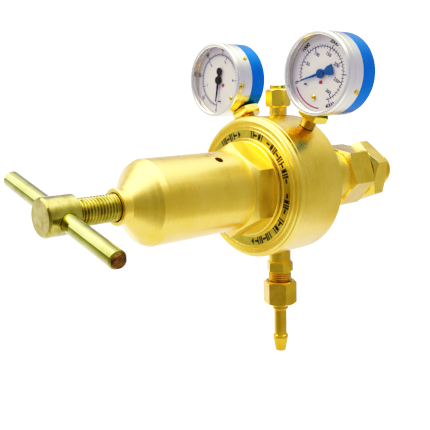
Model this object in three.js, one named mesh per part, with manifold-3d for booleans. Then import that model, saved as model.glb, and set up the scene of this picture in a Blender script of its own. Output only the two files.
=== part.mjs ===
// Gas regulator with a T-handle, two contents gauges, a relief valve, a hose outlet and a cylinder inlet.
// Millimetres. The regulator's axis is Y, handle end at -Y and inlet at +Y.
// Z is up, and the hose end points down.
// Shapes are drawn with y = 0 at the front face of the body, then moved so that the origin
// is on the axis at the free end of the inlet nut's thread.
import * as THREE from 'three';
import Module from 'manifold-3d';

const wasm = await Module();
wasm.setup();

// ---------------------------------------------------------------- sizes

const HANDLE = {
  barR: 5.2, barHalf: 58, barTilt: -16.35, barY: -140, barChamfer: 1.2,
  headR: 11, headFront: -151.2, headBack: -131.6,
  crestR: 8.1, rootR: 7.1, pitch: 2, threadEnd: -104,
  shankR: 7.9, shankEnd: -84, tipR: 5, tipEnd: -75.6,
};
const BONNET = {
  lipR: 11, lipFront: -105.5, lipBack: -104.2, neckR: 10.3, neckBack: -99.2,
  barrelR: 26.1, shoulderY: -86.5, shoulderFillet: 1.6,
  hexAcross: 54.2, hexTurn: 28.3, hexFront: -18, hexBack: -3.2, hexChamfer: 3.2,
  collarR: 31.6, skirtR: 29.6, skirtTop: -0.9, skirtEnd: 10,
  boreR: 8.5, roofY: -82, chamberR: 21,
  ventR: 2.7, ventY: -36.7, ventAngle: 59,
};
const BODY = {
  r: 47.4, backY: 42.8, bossR: 27, bossY: 60,
  threadR: 29.9, ledgeY: 13, chamberR: 23.5, floorY: 24,
  nozzleBoreR: 7.1, highBoreR: 9.5, highY: 30, socketR: 13.2, socketY: 46,
};
const PORT_Y = 32;
const PORT_FEED_R = 16;
const OUTLET = { boreR: 6.25, boreTop: -30, feedR: 3 };
const RELIEF = { boreR: 5.2, boreBottom: 30, feedR: 2.5 };
const GAUGE = {
  x: 46.7, z: 72.9, front: 14.7, r: 26.2, windowR: 23.4,
  bezelBack: 20, caseBack: 28.3, shellR: 24.6, coverR: 26, coverBack: 41.4,
  stemBoreR: 4.4, stemR: 4.2, neckR: 5.15, hexAcross: 19, tubeR: 17,
};
const STEM_ANGLE = Math.atan2(GAUGE.z, GAUGE.x);
const INLET = {
  collarR: 18.8, collarY: 60.3, hexY: 90.8, hexEnd: 116.2, hexAcross: 41, hexTurn: 47.6,
  nutFront: 117.4, nutBack: 132.5, nutAcross: 42.7, nutTurn: 20.4, threadR: 15, threadEnd: 150,
};
const MOVEMENT = { pivot: 9.15, sectorR: 8, pinionR: 1, tail: 4, linkLength: 8, halfSwing: 16.875 };
// Pointer outlines, as [across, along] corners with the tip along +Z.
const BLACK_BLADE = [
  [-1, 0], [-0.35, 15.5], [0.35, 15.5], [1, 0], [1, -3.6], [2.5, -5.4], [2.5, -7.4], [1.2, -9],
  [-1.2, -9], [-2.5, -7.4], [-2.5, -5.4], [-1, -3.6],
].reverse();
const FLAG_BLADE = [
  [-1, 0], [-0.35, 15.5], [0.35, 15.5], [1, 0], [1.6, -4], [2.8, -6], [3.3, -10], [-3.3, -10],
  [-2.8, -6], [-1.6, -4],
].reverse();

// Each gauge: its side, the pointer's direction at rest clockwise from the top, its blade,
// its stop pin and dial screw as [radius, direction], and the direction of the set screw from +X.
const GAUGES = [
  {
    name: 'low', side: -1, rest: 192.4, blade: BLACK_BLADE, look: 'black', pin: [15, 179],
    dialScrew: [17.8, 138], screwAngle: 33,
  },
  {
    name: 'high', side: 1, rest: 257.6, blade: FLAG_BLADE, look: 'blue', pin: [13.4, 244],
    dialScrew: [15.6, 203], screwAngle: -28,
  },
];
const SEGMENTS = 22;

// ---------------------------------------------------------------- materials

function material(color, metalness, roughness, extra = {}) {
  return new THREE.MeshStandardMaterial({ color, metalness, roughness, ...extra });
}
const BRASS = material(0xd8b04a, 1, 0.3);
const ZINC = material(0xc9bd8a, 1, 0.2);
const STEEL = material(0xb8bcc0, 1, 0.35);
const ALUMINIUM = material(0xdcdcda, 1, 0.3);
const BLUE = material(0x0a63c4, 0.2, 0.3);
const WHITE = material(0xf2ece4, 0, 0.6);
const BLACK = material(0x151515, 0, 0.5);
const POINTER_BLUE = material(0x1c3f9c, 0.1, 0.4);
const RUBBER = material(0x202020, 0, 0.9);
const NYLON = material(0xe8e2d0, 0, 0.6);
const BRONZE = material(0x9c6a3a, 1, 0.7);
const GLASS = material(0xffffff, 0, 0.05, { transparent: true, opacity: 0.3 });

// ---------------------------------------------------------------- geometry helpers

// Joins coincident corners into one indexed surface and turns it so that it faces outwards.
function solid(geometry) {
  const source = geometry.index ? geometry.toNonIndexed() : geometry;
  const position = source.attributes.position;
  const seen = new Map();
  const points = [];
  const ids = [];
  for (let i = 0; i < position.count; i += 1) {
    const p = [position.getX(i), position.getY(i), position.getZ(i)];
    const key = p.map((v) => Math.round(v * 1e4)).join(',');
    if (!seen.has(key)) {
      seen.set(key, points.length / 3);
      points.push(...p);
    }
    ids.push(seen.get(key));
  }
  const faces = [];
  let volume = 0;
  for (let i = 0; i < ids.length; i += 3) {
    const [a, b, c] = ids.slice(i, i + 3);
    if (a === b || b === c || c === a) continue;
    faces.push([a, b, c]);
    const [pa, pb, pc] = [a, b, c].map((k) => new THREE.Vector3(...points.slice(3 * k, 3 * k + 3)));
    volume += pa.dot(pb.cross(pc));
  }
  const indexed = new THREE.BufferGeometry();
  indexed.setAttribute('position', new THREE.Float32BufferAttribute(points, 3));
  indexed.setIndex(faces.map((f) => (volume < 0 ? [f[0], f[2], f[1]] : f)).flat());
  return indexed;
}

function toManifold(geometry) {
  const welded = solid(geometry);
  return new wasm.Manifold(new wasm.Mesh({
    numProp: 3,
    vertProperties: new Float32Array(welded.attributes.position.array),
    triVerts: new Uint32Array(welded.index.array),
  }));
}

function fromManifold(manifold) {
  const mesh = manifold.getMesh();
  const geometry = new THREE.BufferGeometry();
  geometry.setAttribute('position', new THREE.Float32BufferAttribute(mesh.vertProperties, 3));
  geometry.setIndex(Array.from(mesh.triVerts));
  return geometry;
}

function cut(geometry, ...tools) {
  return fromManifold(tools.reduce((left, tool) => left.subtract(toManifold(tool)), toManifold(geometry)));
}

function join(geometry, ...others) {
  return fromManifold(others.reduce((left, other) => left.add(toManifold(other)), toManifold(geometry)));
}

function common(geometry, other) {
  return fromManifold(toManifold(geometry).intersect(toManifold(other)));
}

// A solid of revolution about Y from [radius, y] corners. A profile off the axis is closed on itself.
function turned(corners, segments = SEGMENTS) {
  const closed = corners[0][0] > 0 || corners[corners.length - 1][0] > 0;
  const loop = closed ? [...corners, corners[0]] : corners;
  return new THREE.LatheGeometry(loop.map(([r, y]) => new THREE.Vector2(r, y)), segments);
}

function rod(radius, y0, y1, segments = SEGMENTS) {
  return turned([[0, y0], [radius, y0], [radius, y1], [0, y1]], segments);
}

function ring(inner, outer, y0, y1, segments = SEGMENTS) {
  return turned([[inner, y0], [outer, y0], [outer, y1], [inner, y1]], segments);
}

// A hexagonal length along Y with its corners turned off by a chamfer at either end.
function hexagon(across, y0, y1, { turn = 0, chamfer0 = 0, chamfer1 = 0 } = {}) {
  const corner = across / Math.sqrt(3);
  const prism = new THREE.CylinderGeometry(corner, corner, y1 - y0, 6);
  prism.rotateY(Math.PI / 2);
  prism.translate(0, (y0 + y1) / 2, 0);
  const flat = across / 2;
  const end0 = chamfer0
    ? [[0, y0], [flat * 0.95, y0], [corner + 0.1, y0 + chamfer0]]
    : [[0, y0], [corner + 1, y0]];
  const end1 = chamfer1
    ? [[corner + 0.1, y1 - chamfer1], [flat * 0.95, y1], [0, y1]]
    : [[corner + 1, y1], [0, y1]];
  const shaped = common(prism, turned([...end0, ...end1], 24));
  shaped.rotateY(THREE.MathUtils.degToRad(-turn));
  return shaped;
}

class Helix extends THREE.Curve {
  constructor(radius, y0, y1, turns) {
    super();
    Object.assign(this, { radius, y0, y1, turns });
  }

  getPoint(t, target = new THREE.Vector3()) {
    const angle = 2 * Math.PI * this.turns * t;
    const y = this.y0 + (this.y1 - this.y0) * t;
    return target.set(this.radius * Math.cos(angle), y, this.radius * Math.sin(angle));
  }
}

class Arc extends THREE.Curve {
  constructor(radius, from, to) {
    super();
    Object.assign(this, { radius, from, to });
  }

  getPoint(t, target = new THREE.Vector3()) {
    const angle = this.from + (this.to - this.from) * t;
    return target.set(this.radius * Math.cos(angle), 0, this.radius * Math.sin(angle));
  }
}

function ovalShape(halfX, halfY, sides) {
  const corners = [];
  for (let i = 0; i < sides; i += 1) {
    const angle = (2 * Math.PI * i) / sides;
    corners.push(new THREE.Vector2(halfX * Math.cos(angle), halfY * Math.sin(angle)));
  }
  return new THREE.Shape(corners);
}

function tube(curve, steps, halfX, halfY, sides) {
  return new THREE.ExtrudeGeometry(ovalShape(halfX, halfY, sides), {
    steps, bevelEnabled: false, extrudePath: curve,
  });
}

// A coil along Y whose wire just clears the planes y0 and y1.
function coil(radius, wire, y0, y1, turns, stepsPerTurn, sides) {
  const path = new Helix(radius, y0 + wire * 1.12, y1 - wire * 1.12, turns);
  return tube(path, Math.round(turns * stepsPerTurn), wire, wire, sides);
}

// A flat plate in XZ from [x, z] corners, between two values of y.
function plate(corners, y0, y1) {
  const shape = new THREE.Shape(corners.map(([x, z]) => new THREE.Vector2(x, z)));
  const geometry = new THREE.ExtrudeGeometry(shape, { depth: y1 - y0, bevelEnabled: false });
  geometry.rotateX(Math.PI / 2);
  geometry.translate(0, y1, 0);
  return geometry;
}

// Turns a shape made along Y so that it runs along +Z at the ports' plane.
function upright(geometry) {
  geometry.rotateX(Math.PI / 2);
  geometry.translate(0, PORT_Y, 0);
  return geometry;
}

// Turns a shape made along Y so that it runs outwards at an angle from +X, in the ports' plane.
function radial(geometry, angle) {
  geometry.rotateZ(-Math.PI / 2);
  geometry.rotateY(-angle);
  geometry.translate(0, PORT_Y, 0);
  return geometry;
}

const part = new THREE.Group();
part.name = 'gas_regulator';
part.position.y = -INLET.threadEnd;

function add(name, geometry, look) {
  const mesh = new THREE.Mesh(solid(geometry), look);
  mesh.name = name;
  part.add(mesh);
}

// ---------------------------------------------------------------- handle

function threadProfile(y0, y1, pitch, crest, root) {
  const corners = [];
  const turns = Math.floor((y1 - y0) / pitch);
  for (let i = 0; i < turns; i += 1) {
    const y = y0 + i * pitch;
    corners.push([root, y], [crest, y + pitch * 0.5]);
  }
  return corners;
}

function adjustingScrew() {
  const h = HANDLE;
  const blank = turned([
    [0, h.headFront], [h.headR - 1.2, h.headFront], [h.headR, h.headFront + 1],
    [h.headR, h.headBack - 0.8], [h.headR - 0.8, h.headBack], [h.rootR, h.headBack],
    ...threadProfile(h.headBack + 0.5, h.threadEnd, h.pitch, h.crestR, h.rootR),
    [h.rootR, h.threadEnd], [h.shankR, h.threadEnd + 0.8], [h.shankR, h.shankEnd], [h.tipR, h.shankEnd + 1.5],
    [h.tipR, h.tipEnd - 1], [h.tipR - 1.5, h.tipEnd], [0, h.tipEnd],
  ], 22);
  return cut(blank, crossBar(h.barR + 0.15, h.barHalf, 0));
}

function crossBar(radius, half, chamfer) {
  const bar = chamfer
    ? turned([
      [0, -half], [radius - chamfer, -half], [radius, -half + chamfer],
      [radius, half - chamfer], [radius - chamfer, half], [0, half],
    ], 24)
    : rod(radius, -half, half, 24);
  bar.rotateZ(-Math.PI / 2);
  bar.rotateY(THREE.MathUtils.degToRad(-HANDLE.barTilt));
  bar.translate(0, HANDLE.barY, 0);
  return bar;
}

add('adjusting_screw', adjustingScrew(), BRASS);
add('t_bar', crossBar(HANDLE.barR, HANDLE.barHalf, HANDLE.barChamfer), ZINC);

// ---------------------------------------------------------------- bonnet and range spring

function bonnet() {
  const b = BONNET;
  const fillet = b.shoulderFillet;
  const shell = turned([
    [0, b.lipFront], [b.lipR - 0.5, b.lipFront], [b.lipR, b.lipFront + 0.5], [b.lipR, b.lipBack],
    [b.neckR, b.lipBack + 0.4], [b.neckR, b.neckBack],
    [b.barrelR - fillet * 1.2, b.shoulderY - fillet * 0.95],
    [b.barrelR - fillet * 0.35, b.shoulderY - fillet * 0.1],
    [b.barrelR, b.shoulderY + fillet], [b.barrelR, b.hexBack], [b.collarR - 0.5, b.hexBack],
    [b.collarR, b.hexBack + 0.5], [b.collarR, b.skirtTop], [b.skirtR, b.skirtTop],
    [b.skirtR, b.skirtEnd], [0, b.skirtEnd],
  ], 36);
  const hex = hexagon(b.hexAcross, b.hexFront, b.hexBack, { turn: b.hexTurn, chamfer0: b.hexChamfer });
  const chamber = rod(b.chamberR, b.roofY, b.skirtEnd + 1, 28);
  const bore = rod(b.boreR, b.lipFront - 1, b.roofY + 1, 20);
  const vent = rod(b.ventR, b.chamberR - 3, b.barrelR + 3, 14);
  vent.rotateZ(-Math.PI / 2);
  vent.rotateY(THREE.MathUtils.degToRad(-b.ventAngle));
  vent.translate(0, b.ventY, 0);
  return cut(join(shell, hex), chamber, bore, vent);
}

add('bonnet', bonnet(), BRASS);
add('spring_button', turned([
  [0, -75.3], [5.4, -75.3], [5.4, -79], [9, -79], [9, -76], [19.5, -76],
  [20, -75.5], [20, -72], [12.8, -72], [12.8, -67.5], [11.8, -66.5], [0, -66.5],
]), STEEL);
add('range_spring', coil(16, 1.9, -71.9, 7.9, 7, 11, 5), STEEL);
add('spring_plate', turned([
  [2.3, 3.6], [11.8, 3.6], [12.8, 4.6], [12.8, 8], [19.6, 8], [20, 8.4], [20, 11.3], [2.3, 11.3],
]), STEEL);
add('stud_nut', cut(hexagon(8, -0.2, 3.4, { turn: 10 }), rod(2.15, -1, 4, 16)), BRASS);

// ---------------------------------------------------------------- diaphragm and valve

add('slip_ring', ring(22.6, 29.3, 10.2, 11.4), BRASS);
add('diaphragm', ring(2.3, 29.3, 11.6, 12.8), RUBBER);
add('pusher', turned([
  [0, -1.6], [2, -1.6], [2, 13], [14, 13], [14.4, 13.4], [14.4, 15.4], [4, 15.8], [4, 18], [0, 18],
], 20), BRASS);

function nozzle() {
  const head = hexagon(15, 20.4, 23.8, { chamfer0: 1 });
  const barrel = turned([[0, 22], [6.9, 22], [6.9, 29.6], [3.8, 29.8], [3.1, 30.9], [0, 30.9]], 20);
  return cut(join(head, barrel), rod(1.9, 19, 32, 20));
}

add('nozzle', nozzle(), BRASS);
add('valve_pin', rod(1.2, 18.1, 34, 14), STEEL);
add('valve_seat_disc', ring(1.4, 4.6, 31.1, 33.9, 16), NYLON);
add('valve_poppet', turned([
  [0, 34.1], [4.8, 34.1], [4.8, 31.5], [6.4, 31.5], [6.4, 36.6], [6, 37], [2.4, 37], [2.4, 54], [0, 54],
], 16), BRASS);
add('poppet_spring', coil(3.4, 0.45, 37.1, 51.9, 5, 9, 4), STEEL);

// ---------------------------------------------------------------- body

function bodyPorts() {
  const lowAngle = Math.PI - STEM_ANGLE;
  const ports = [
    upright(rod(OUTLET.boreR, -50, OUTLET.boreTop, 20)),
    upright(rod(OUTLET.feedR, OUTLET.boreTop - 1, -PORT_FEED_R + 1, 12)),
    upright(rod(RELIEF.boreR, RELIEF.boreBottom, 50, 20)),
    upright(rod(RELIEF.feedR, PORT_FEED_R - 1, RELIEF.boreBottom + 1, 12)),
    radial(rod(GAUGE.stemBoreR, 34, 50, 16), STEM_ANGLE),
    radial(rod(1.8, 7, 35, 10), STEM_ANGLE),
    radial(rod(GAUGE.stemBoreR, 34, 50, 16), lowAngle),
    radial(rod(1.8, PORT_FEED_R - 1, 35, 10), lowAngle),
  ];
  const feeds = [[OUTLET.feedR, -Math.PI / 2], [RELIEF.feedR, Math.PI / 2], [2, lowAngle]];
  for (const [radius, angle] of feeds) {
    const feed = rod(radius, BODY.floorY - 1, PORT_Y + radius, 12);
    feed.translate(PORT_FEED_R * Math.cos(angle), 0, PORT_FEED_R * Math.sin(angle));
    ports.push(feed);
  }
  return ports;
}

function body() {
  const b = BODY;
  const blank = turned([
    [b.threadR, -0.6], [b.threadR, b.ledgeY], [b.chamberR, b.ledgeY], [b.chamberR, b.floorY],
    [b.nozzleBoreR, b.floorY], [b.nozzleBoreR, b.highY], [b.highBoreR, b.highY], [b.highBoreR, b.socketY],
    [b.socketR, b.socketY], [b.socketR, b.bossY], [b.bossR - 1, b.bossY], [b.bossR, b.bossY - 1],
    [b.bossR, b.backY], [b.r - 1, b.backY], [b.r, b.backY - 1],
    [b.r, 1.4], [b.r - 1.4, 0], [b.r - 3.2, 0], [b.r - 3.7, 0.5], [b.r - 4.2, 0],
    [33.4, 0], [33, -0.6],
  ], 40);
  return cut(blank, ...bodyPorts());
}

add('body', body(), BRASS);

// ---------------------------------------------------------------- inlet

function inletAdapter() {
  const i = INLET;
  const stem = turned([
    [0, 46.5], [12.2, 46.5], [13, 47.3], [13, i.collarY], [i.collarR - 0.8, i.collarY],
    [i.collarR, i.collarY + 0.8], [i.collarR, i.hexY + 1], [0, i.hexY + 1],
  ]);
  const hex = hexagon(i.hexAcross, i.hexY, i.hexEnd, { turn: i.hexTurn, chamfer0: 2.2, chamfer1: 1.6 });
  return cut(join(stem, hex), rod(4.6, 45, 52, 16), rod(3, 51, 101, 14), rod(7.2, 100, i.hexEnd + 1, 18));
}

function inletNut() {
  const i = INLET;
  const hex = hexagon(i.nutAcross, i.nutFront, i.nutBack, { turn: i.nutTurn, chamfer0: 3, chamfer1: 1 });
  const thread = turned([
    [0, i.nutBack - 1], [13.9, i.nutBack - 1],
    ...threadProfile(i.nutBack, i.threadEnd - 1, 2.3, i.threadR, 13.9),
    [13.6, i.threadEnd], [0, i.threadEnd],
  ], 20);
  return cut(join(hex, thread), rod(9.3, 116, 151, 20), rod(11.2, 144.4, 151, 20));
}

add('inlet_adapter', inletAdapter(), BRASS);
add('inlet_filter', rod(6.8, 100.4, 106.8, 20), BRONZE);
add('inlet_nipple', turned([
  [2.5, 107.2], [7, 107.2], [7, 116.4], [9, 116.4], [9, 145], [10.8, 145], [10.8, 149.4], [9, 149.6],
  [9, 151.4], [7.4, 151.4], [7.4, 153.8], [8.4, 153.8], [6.6, 157.2], [2.5, 157.2],
], 20), BRASS);
add('nipple_o_ring', turned([
  [7.5, 152.6], [7.8, 151.9], [8.5, 151.6], [9.2, 151.9],
  [9.5, 152.6], [9.2, 153.3], [8.5, 153.6], [7.8, 153.3],
], 16), RUBBER);
add('inlet_nut', inletNut(), BRASS);

// ---------------------------------------------------------------- relief valve

function reliefBody() {
  const stem = turned([[0, 30.4], [5, 30.4], [5, 47.6], [6.05, 47.6], [6.05, 53.5], [0, 53.5]], 20);
  const hex = hexagon(15.2, 52.9, 65, { turn: 16, chamfer0: 1.1, chamfer1: 1.1 });
  return upright(cut(join(stem, hex), rod(1.6, 29, 42, 10), rod(4.4, 41, 66, 16)));
}

add('relief_body', reliefBody(), BRASS);
add('relief_seal', upright(rod(3.6, 41.2, 42.4, 20)), RUBBER);
add('relief_poppet', upright(turned([
  [0, 42.6], [3.9, 42.6], [3.9, 45.4], [1.6, 45.8], [1.6, 52], [0, 52],
], 20)), BRASS);
add('relief_spring', upright(coil(2.9, 0.45, 45.9, 60.9, 5, 9, 4)), STEEL);
add('relief_cap', upright(turned([
  [1.3, 61], [4.2, 61], [4.2, 65.2], [5.3, 65.2], [5.65, 65.6], [5.65, 67.4], [5.2, 67.8], [1.3, 67.8],
], 20)), BRASS);

// ---------------------------------------------------------------- outlet

function outletAdapter() {
  const stem = turned([
    [0, -77], [8, -77], [8, -72], ...threadProfile(-71.8, -63.4, 1.4, 8.3, 7.4), [7.4, -63.4],
    [7.4, -60], [7.85, -55.4], [7.85, -47.6], [6.05, -47.6], [6.05, -31], [0, -31],
  ], 20);
  const hex = hexagon(17, -63.2, -55.4, { turn: -25.4, chamfer0: 1, chamfer1: 1 });
  return upright(cut(join(stem, hex), rod(3.2, -78, -30, 14)));
}

function outletNut() {
  const hex = hexagon(21.1, -87, -69.8, { turn: -33.4, chamfer0: 1.4, chamfer1: 1.4 });
  return upright(cut(hex, rod(8.6, -80.2, -69, 20), rod(6.05, -88, -79, 20)));
}

add('outlet_adapter', outletAdapter(), BRASS);
add('outlet_nut', outletNut(), BRASS);
add('hose_barb', upright(turned([
  [3, -122.5], [3.7, -122.5], [5.45, -112.6], [5.5, -110.8], [4.55, -110.2], [4.55, -91.8],
  [5.2, -91.2], [5.8, -90.6], [5.8, -80], [8.2, -79.8], [8.2, -77.6], [7, -77.2], [3, -77.2],
], 24)), BRASS);

// ---------------------------------------------------------------- gauges

// Local axes of a gauge: +X runs from its stem to its centre, +Z is that turned a quarter turn anticlockwise.
function inGauge(geometry, side) {
  geometry.rotateY(side > 0 ? -STEM_ANGLE : STEM_ANGLE - Math.PI);
  geometry.translate(side * GAUGE.x, 0, GAUGE.z);
  return geometry;
}

// A screw-sized rod standing out of a gauge's side at an angle from +X.
function fromSide(geometry, side, angle, y) {
  geometry.rotateZ(-Math.PI / 2);
  geometry.rotateY(THREE.MathUtils.degToRad(-angle));
  geometry.translate(side * GAUGE.x, y, GAUGE.z);
  return geometry;
}

function gaugeStem(side) {
  const angle = side > 0 ? STEM_ANGLE : Math.PI - STEM_ANGLE;
  const shank = turned([
    [0, 34.5], [GAUGE.stemR, 34.5], [GAUGE.stemR, 47.7], [GAUGE.neckR, 47.7], [GAUGE.neckR, 55], [3.6, 55],
    [3.6, 67], [0, 67],
  ], 16);
  const hex = hexagon(GAUGE.hexAcross, 54.5, 60.1, { turn: 12, chamfer0: 1.2 });
  const block = new THREE.BoxGeometry(7.6, 7, 7.6);
  block.translate(0, 69.5, 0);
  return radial(cut(join(shank, hex, block), rod(1, 34, 68, 10)), angle);
}

function gaugeCase(side, screwAngle) {
  const g = GAUGE;
  const shell = turned([
    [0, 38.6], [g.shellR - 0.7, 38.6], [g.shellR - 0.7, g.bezelBack + 0.1], [g.r, g.bezelBack + 0.1],
    [g.r, g.caseBack], [g.shellR, g.caseBack], [g.shellR, 39.4], [0, 39.4],
  ], 28);
  shell.translate(side * g.x, 0, g.z);
  const angle = side > 0 ? STEM_ANGLE : Math.PI - STEM_ANGLE;
  const stemHole = radial(rod(3.9, 56, 66, 20), angle);
  const screwHole = fromSide(rod(1.25, 22, 28, 12), side, screwAngle, 25.2);
  return cut(shell, stemHole, screwHole);
}

function gaugeCover(side) {
  const g = GAUGE;
  const shell = turned([
    [0, 39.7], [g.shellR + 0.3, 39.7], [g.shellR + 0.3, g.caseBack + 0.3], [g.coverR, g.caseBack + 0.3],
    [g.coverR, g.coverBack - 0.8], [g.coverR - 0.8, g.coverBack], [0, g.coverBack],
  ], 28);
  shell.translate(side * g.x, 0, g.z);
  const angle = side > 0 ? STEM_ANGLE : Math.PI - STEM_ANGLE;
  return cut(shell, radial(rod(4.1, 56, 66, 20), angle));
}

function movementFrame() {
  const corners = [[-12.4, -11.4], [5, -11.4], [5, 4.6], [-12.4, 4.6]];
  const plates = [plate(corners, 24, 24.8), plate(corners, 29.2, 30)];
  const pillars = [[-10.6, -9.6], [-10.6, 2.8], [3.4, 3]].map(([x, z]) => {
    const pillar = rod(1.1, 24.4, 29.6, 10);
    pillar.translate(x, 0, z);
    return pillar;
  });
  const pivotHole = rod(0.75, 23, 31, 10);
  pivotHole.translate(0, 0, -MOVEMENT.pivot);
  return cut(join(plates[0], plates[1], ...pillars), rod(0.75, 23, 31, 10), pivotHole);
}

function sectorGear() {
  const m = MOVEMENT;
  const fan = [];
  for (let angle = 66; angle <= 114; angle += 6) {
    const turn = THREE.MathUtils.degToRad(angle);
    fan.push([m.sectorR * Math.cos(turn), m.sectorR * Math.sin(turn)]);
  }
  const blade = plate([[-0.9, -m.tail - 0.9], [0.9, -m.tail - 0.9], [1.4, 0], ...fan, [-1.4, 0]], 26.4, 27.2);
  const pin = rod(0.5, 27, 28.4, 10);
  pin.translate(0, 0, -m.tail);
  const gear = join(blade, rod(0.6, 23.6, 30.4, 10), pin);
  gear.rotateY(THREE.MathUtils.degToRad(m.halfSwing));
  gear.translate(0, 0, -m.pivot);
  return gear;
}

function link() {
  const m = MOVEMENT;
  const swing = THREE.MathUtils.degToRad(m.halfSwing);
  const bar = plate([[-1.3, -0.9], [m.linkLength, -0.9], [m.linkLength, 0.9], [-1.3, 0.9]], 27.5, 28.2);
  const pierced = cut(bar, rod(0.78, 27, 29, 12));
  pierced.translate(-m.tail * Math.sin(swing), 0, -m.pivot - m.tail * Math.cos(swing) - 0.09);
  return pierced;
}

function bourdonTube() {
  const tubeShape = tube(new Arc(GAUGE.tubeR, -0.84, Math.PI - 0.3), 20, 1.1, 3.2, 6);
  tubeShape.translate(0, PORT_Y, 0);
  return tubeShape;
}

// The pointer lies flat with its arbor and pinion; its blade points along an angle clockwise from +Z.
function pointer(side, reading, blade) {
  const arbor = join(rod(0.6, 19, 30.4, 10), rod(2.9, 18.7, 20, 16), rod(MOVEMENT.pinionR, 26, 27.6, 12));
  const needle = plate(blade, 19.1, 19.6);
  needle.rotateY(THREE.MathUtils.degToRad(reading));
  const whole = join(arbor, needle);
  whole.translate(side * GAUGE.x, 0, GAUGE.z);
  return whole;
}

// A point on a gauge's face, at a radius and a clock angle in degrees from its top.
function onFace(geometry, side, radius, clock) {
  const angle = THREE.MathUtils.degToRad(clock);
  geometry.translate(side * GAUGE.x + radius * Math.sin(angle), 0, GAUGE.z + radius * Math.cos(angle));
  return geometry;
}

for (const { name, side, rest, blade, look, pin, dialScrew, screwAngle } of GAUGES) {
  const centred = (geometry) => geometry.translate(side * GAUGE.x, 0, GAUGE.z);
  add(`${name}_bezel`, centred(turned([
    [23.4, 15.1], [23.9, GAUGE.front], [25.5, GAUGE.front], [GAUGE.r, 15.5], [GAUGE.r, GAUGE.bezelBack - 0.1],
    [24.6, GAUGE.bezelBack - 0.1], [24.6, 16.3], [23.4, 16.3],
  ], 28)), ALUMINIUM);
  add(`${name}_lens`, centred(rod(24.3, 16.5, 18.1, 28)), GLASS);
  add(`${name}_case`, gaugeCase(side, screwAngle), ALUMINIUM);
  add(`${name}_back_cover`, gaugeCover(side), BLUE);
  const screwHole = onFace(rod(1, 20, 22, 10), side, ...dialScrew);
  add(`${name}_dial`, cut(centred(ring(1.3, 23.7, 20.8, 21.4, 28)), screwHole), WHITE);
  add(`${name}_pointer`, pointer(side, rest, blade), look === 'blue' ? POINTER_BLUE : BLACK);
  add(`${name}_stop_pin`, onFace(rod(0.5, 18.9, 20.7, 10), side, ...pin), BLACK);
  add(`${name}_dial_screw`, onFace(turned([
    [0, 20], [1.6, 20], [1.9, 20.3], [1.9, 20.7], [0.8, 20.7], [0.8, 23.4], [0, 23.4],
  ], 10), side, ...dialScrew), BRASS);
  add(`${name}_set_screw`, fromSide(turned([
    [0, 24.2], [1.1, 24.2], [1.1, 26.3], [1.7, 26.3], [1.7, 26.8], [1.4, 27], [0, 27],
  ], 10), side, screwAngle, 25.2), BRASS);
  add(`${name}_stem`, gaugeStem(side), BRASS);
  add(`${name}_bourdon_tube`, inGauge(bourdonTube(), side), BRONZE);
  add(`${name}_movement`, inGauge(movementFrame(), side), BRASS);
  add(`${name}_sector`, inGauge(sectorGear(), side), BRASS);
  add(`${name}_link`, inGauge(link(), side), STEEL);
}

export default part;
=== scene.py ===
"""Looks of a gas regulator: brass bonnet and body, plated T-bar, two gauges, relief valve, hose tail, inlet.

Each fine piece is drawn in a local frame, in millimetres, and turned about its local Y axis. Along the
regulator's axis y is 0 at the body's front face. The frames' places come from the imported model.
"""

import math

import bmesh
import bpy
from mathutils import Matrix, Vector


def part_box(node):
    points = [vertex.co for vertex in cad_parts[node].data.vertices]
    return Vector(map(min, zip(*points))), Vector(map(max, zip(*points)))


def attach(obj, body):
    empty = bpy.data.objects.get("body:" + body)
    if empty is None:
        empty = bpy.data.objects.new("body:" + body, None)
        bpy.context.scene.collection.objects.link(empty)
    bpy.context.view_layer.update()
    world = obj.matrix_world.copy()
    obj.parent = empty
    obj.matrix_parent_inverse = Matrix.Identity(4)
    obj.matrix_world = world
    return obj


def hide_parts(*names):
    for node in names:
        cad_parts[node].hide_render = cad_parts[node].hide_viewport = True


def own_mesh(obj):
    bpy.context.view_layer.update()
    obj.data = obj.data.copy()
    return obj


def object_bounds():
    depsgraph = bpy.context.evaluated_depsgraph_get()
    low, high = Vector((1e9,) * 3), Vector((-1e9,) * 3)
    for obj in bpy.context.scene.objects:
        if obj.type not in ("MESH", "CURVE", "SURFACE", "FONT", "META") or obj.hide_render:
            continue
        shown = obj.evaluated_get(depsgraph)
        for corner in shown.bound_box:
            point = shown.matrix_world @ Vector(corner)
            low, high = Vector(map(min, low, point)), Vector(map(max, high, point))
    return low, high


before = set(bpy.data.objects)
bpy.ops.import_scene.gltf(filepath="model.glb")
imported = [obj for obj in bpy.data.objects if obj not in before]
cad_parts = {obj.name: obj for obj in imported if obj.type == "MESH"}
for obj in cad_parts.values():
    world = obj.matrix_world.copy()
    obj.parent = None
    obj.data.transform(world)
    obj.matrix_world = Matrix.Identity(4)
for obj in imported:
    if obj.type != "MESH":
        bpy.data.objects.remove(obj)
cad_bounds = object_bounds()

MM = 0.001
BODY_STEP = 0.6  # how far the body's boss stands in front of its face
PORT_Y = 32
FACE_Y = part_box("body")[0].y + BODY_STEP * MM

# ---------------------------------------------------------------- frames

AXIS = Matrix.Translation((0, FACE_Y, 0))
PORTS = Matrix.Translation((0, FACE_Y + PORT_Y * MM, 0))  # where the four ports' axes cross
UPRIGHT = PORTS @ Matrix.Rotation(math.pi / 2, 4, "X")


def gauge_centre(side):
    low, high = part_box(f"{side}_bezel")
    return (low + high) / 2


CENTRES = {side: gauge_centre(side) for side in ("low", "high")}
GAUGE_FRAMES = {side: Matrix.Translation((c.x, FACE_Y, c.z)) for side, c in CENTRES.items()}
STEM_ANGLES = {side: math.atan2(c.z, c.x) for side, c in CENTRES.items()}


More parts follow.
